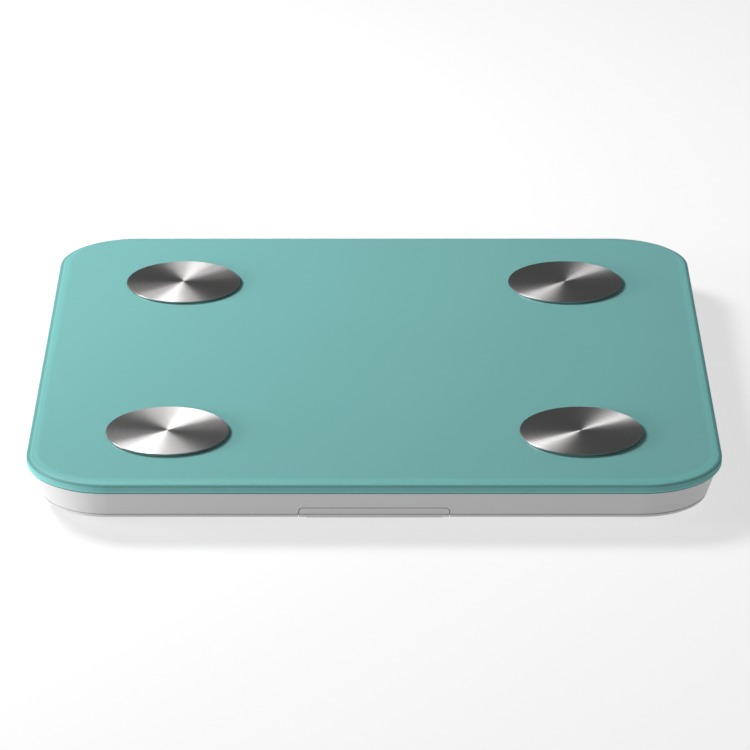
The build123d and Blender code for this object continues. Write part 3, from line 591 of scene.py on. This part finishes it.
def dress_all():
    white = satin_abs("white_abs", (0.54, 0.54, 0.54))
    plated = plain("plated_steel", (0.62, 0.61, 0.59), 0.28, metal=1.0)
    rubber = plain("grip_rubber", (0.10, 0.10, 0.105), 0.8)
    cell_steel = plain("cell_steel", (0.50, 0.51, 0.52), 0.35, metal=1.0)
    grey = plain("grey_nylon", (0.35, 0.36, 0.37), 0.5)
    sensor = plain("gauge_foil", (0.55, 0.30, 0.12), 0.4, metal=0.3, scale=2400.0)
    nylon = plain("plug_nylon", (0.72, 0.70, 0.64), 0.42)
    for corner in CORNERS:
        dress("foot_cap_" + corner, white)
        dress("foot_pad_" + corner, rubber)
        dress("load_cell_" + corner, cell_steel)
    for number in (1, 2, 3, 4):
        dress("dry_cell_%d" % number, dry_cell_finish(number))
    sets = {
        white: ["base_shell", "battery_door", "foot_keepers"],
        plated: ["stud_nuts", "ring_terminals", "keeper_screws", "board_screws", "clock_crystal"],
        grey: ["load_cell_retainers"],
        sensor: ["strain_gauges"],
        nylon: ["side_plugs", "battery_plug", "stud_bushes"],
        board_finish(): ["main_board"],
        label_finish(): ["rating_label"],
        plain("black_seal", (0.015, 0.015, 0.015), 0.7): ["electrode_seals"],
        plain("foam_tape", (0.62, 0.62, 0.60), 0.9, depth=0.4): ["bonding_tape"],
        plain("spring_steel", (0.66, 0.60, 0.50), 0.25, metal=1.0): ["plus_contacts", "minus_springs"],
        plain("display_black", (0.02, 0.02, 0.022), 0.45): ["display_housing"],
        plain("segment_diffuser", (0.74, 0.75, 0.76), 0.6): ["display_segments"],
        plain("chip_resin", (0.014, 0.014, 0.015), 0.22): ["control_chip"],
        plain("module_can", (0.58, 0.58, 0.56), 0.32, metal=1.0, scale=1400.0): ["radio_module"],
        plain("chip_ceramic", (0.42, 0.33, 0.22), 0.4, scale=2400.0): ["chip_capacitors"],
        plain("switch_black", (0.02, 0.02, 0.02), 0.4): ["switch_body"],
        plain("button_grey", (0.30, 0.31, 0.32), 0.5): ["unit_button", "switch_plunger"],
        plain("wire_red", (0.48, 0.03, 0.025), 0.38): ["load_cell_leads_red", "battery_lead_red"],
        plain("wire_white", (0.72, 0.72, 0.70), 0.38): ["load_cell_leads_white"],
        plain("wire_black", (0.02, 0.02, 0.022), 0.38): ["load_cell_leads_black", "electrode_leads",
                                                         "battery_lead_black"],
    }
    for material, named in sets.items():
        for node in named:
            dress(node, material)


# ---- repeated details -----------------------------------------------------------------------
def studded(name, places, radius, tip_radius, height, material):
    """One small turned stud at every place, built by a node group and turned into a mesh."""
    group = bpy.data.node_groups.new(name + "_group", "GeometryNodeTree")
    face = group.interface
    face.new_socket("Geometry", in_out="INPUT", socket_type="NodeSocketGeometry")
    sizes = {}
    for key, value in (("Radius", radius), ("Tip Radius", tip_radius), ("Height", height)):
        socket = face.new_socket(key, in_out="INPUT", socket_type="NodeSocketFloat")
        sizes[socket.identifier] = value
    face.new_socket("Geometry", in_out="OUTPUT", socket_type="NodeSocketGeometry")
    nodes, links = group.nodes, group.links
    start = nodes.new("NodeGroupInput")
    stud = nodes.new("GeometryNodeMeshCone")
    stud.inputs["Vertices"].default_value = STUD_SIDES
    links.new(start.outputs["Radius"], stud.inputs["Radius Bottom"])
    links.new(start.outputs["Tip Radius"], stud.inputs["Radius Top"])
    links.new(start.outputs["Height"], stud.inputs["Depth"])
    spread = nodes.new("GeometryNodeInstanceOnPoints")
    links.new(start.outputs["Geometry"], spread.inputs["Points"])
    links.new(stud.outputs["Mesh"], spread.inputs["Instance"])
    scale = nodes.new("FunctionNodeRandomValue")
    scale.inputs[2].default_value, scale.inputs[3].default_value = STUD_SCALES
    scale.inputs["Seed"].default_value = STUD_SEED
    links.new(scale.outputs[1], spread.inputs["Scale"])
    real = nodes.new("GeometryNodeRealizeInstances")
    coat = nodes.new("GeometryNodeSetMaterial")
    coat.inputs["Material"].default_value = material
    end = nodes.new("NodeGroupOutput")
    links.new(spread.outputs[0], real.inputs[0])
    links.new(real.outputs[0], coat.inputs["Geometry"])
    links.new(coat.outputs[0], end.inputs[0])
    points = bpy.data.meshes.new(name + "_places")
    points.from_pydata(places, [], [])
    holder = bpy.data.objects.new(name + "_places", points)
    bpy.context.collection.objects.link(holder)
    modifier = holder.modifiers.new("studs", "NODES")
    modifier.node_group = group
    for key, value in sizes.items():
        modifier[key] = value
    bpy.context.view_layer.update()
    ready = holder.evaluated_get(bpy.context.evaluated_depsgraph_get())
    mesh = bpy.data.meshes.new_from_object(ready)
    mesh.name = name
    bpy.data.objects.remove(holder)
    piece = bpy.data.objects.new(name, mesh)
    bpy.context.collection.objects.link(piece)
    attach(piece, "scale")


def make_board_details():
    """Solder joints under the board, where the plugs' and the display's pins come through."""
    low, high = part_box("main_board")
    middle_x = (low[0] + high[0]) / 2
    middle_y = (low[1] + high[1]) / 2
    joint_z = low[2] - JOINT_TALL / 2
    places = []
    for side in (-1, 1):
        for start, count in PLUG_PINS:
            for i in range(count):
                places.append((middle_x + side * PIN_FROM_MIDDLE,
                               middle_y + start + i * PIN_PITCH, joint_z))
    for row in (-1, 1):
        for i in range(DISPLAY_PINS):
            places.append((middle_x + (i - (DISPLAY_PINS - 1) / 2) * DISPLAY_PIN_PITCH,
                           middle_y + DISPLAY_BACK + row * DISPLAY_ROW, joint_z))
    solder = plain("bright_solder", (0.70, 0.70, 0.69), 0.22, metal=1.0, scale=1800.0)
    studded("solder_joints", places, JOINT_RADIUS, JOINT_RADIUS * 2, JOINT_TALL, solder)


# ---- stage ----------------------------------------------------------------------------------
SKY_SEEN = 0.95               # sky levels: seen directly, as fill, in reflections
SKY_FILL = 0.21
SKY_SHEEN = 0.10
FLOOR_HALF = 14.0
FLOOR_DROP = 0.2 * MM
FLOOR_TONE = 0.32
FLOOR_GLOW = 0.63
# name, place, aim, (width, height), watts, options
LAMPS = (
    ("key", (-0.62, 0.36, 0.74), (0.0, 0.0, 0.02), (0.36, 0.36), 12.9, {"glossy": False}),
    ("low_left", (-0.88, -0.24, 0.18), (0.0, -0.10, 0.01), (0.4, 0.3), 7.4, {"glossy": False}),
    ("rim_sheen", (-0.90, 0.12, 0.46), (0.0, 0.0, 0.02), (0.40, 0.40), 3.6, {"diffuse": False}),
    ("left_box", (-0.20, 0.13, 0.37), (-0.30, 0.0, 0.02), (0.14, 0.14), 0.37,
     {"diffuse": False, "spread": 130.0}),
    ("back_left_fill", (-0.38, 0.42, 0.22), (-0.10, 0.0, 0.02), (0.30, 0.30), 0.14,
     {"diffuse": False}),
    ("left_wash", (-0.18, 0.16, 0.46), (-0.13, 0.0, 0.02), (0.36, 0.26), 0.95,
     {"diffuse": False}),
)


def area_light(name, place, aim, size, power, diffuse=True, glossy=True, spread=180.0):
    data = bpy.data.lights.new(name, "AREA")
    data.shape = "RECTANGLE"
    data.size, data.size_y = size
    data.energy = power
    data.spread = math.radians(spread)
    lamp = bpy.data.objects.new(name, data)
    lamp.location = place
    lamp.rotation_euler = (Vector(aim) - Vector(place)).to_track_quat("-Z", "Y").to_euler()
    lamp.visible_camera = False
    lamp.visible_diffuse, lamp.visible_glossy = diffuse, glossy
    bpy.context.collection.objects.link(lamp)


def make_stage():
    bm = bmesh.new()
    bmesh.ops.create_grid(bm, x_segments=4, y_segments=4, size=FLOOR_HALF)
    bmesh.ops.translate(bm, verts=bm.verts, vec=(0, 0, -FLOOR_DROP))
    pale = Finish("pale_floor").surface([FLOOR_TONE] * 3, 0.9, Specular_IOR_Level=0.0,
                                        Emission_Color=(1.0, 1.0, 1.0),
                                        Emission_Strength=FLOOR_GLOW)
    new_piece("floor", bm, pale)
    world = bpy.data.worlds.new("studio")
    bpy.context.scene.world = world
    world.use_nodes = True
    tree = world.node_tree
    tree.nodes.clear()
    output = tree.nodes.new("ShaderNodeOutputWorld")
    path = tree.nodes.new("ShaderNodeLightPath")
    backdrop, ambient, sheen = (tree.nodes.new("ShaderNodeBackground") for _ in range(3))
    for node, level in ((backdrop, SKY_SEEN), (ambient, SKY_FILL), (sheen, SKY_SHEEN)):
        node.inputs["Color"].default_value = (level, level, level, 1.0)
    lit = tree.nodes.new("ShaderNodeMixShader")
    tree.links.new(path.outputs["Is Glossy Ray"], lit.inputs[0])
    tree.links.new(ambient.outputs[0], lit.inputs[1])
    tree.links.new(sheen.outputs[0], lit.inputs[2])
    mix = tree.nodes.new("ShaderNodeMixShader")
    tree.links.new(path.outputs["Is Camera Ray"], mix.inputs[0])
    tree.links.new(lit.outputs[0], mix.inputs[1])
    tree.links.new(backdrop.outputs[0], mix.inputs[2])
    tree.links.new(mix.outputs[0], output.inputs[0])
    bpy.context.scene.view_settings.view_transform = "Standard"
    for name, place, aim, size, power, options in LAMPS:
        area_light(name, place, aim, size, power, **options)


make_camera()
make_glass()
make_coat()
for corner in CORNERS:
    make_disc(corner)
dress_all()
make_board_details()
make_stage()
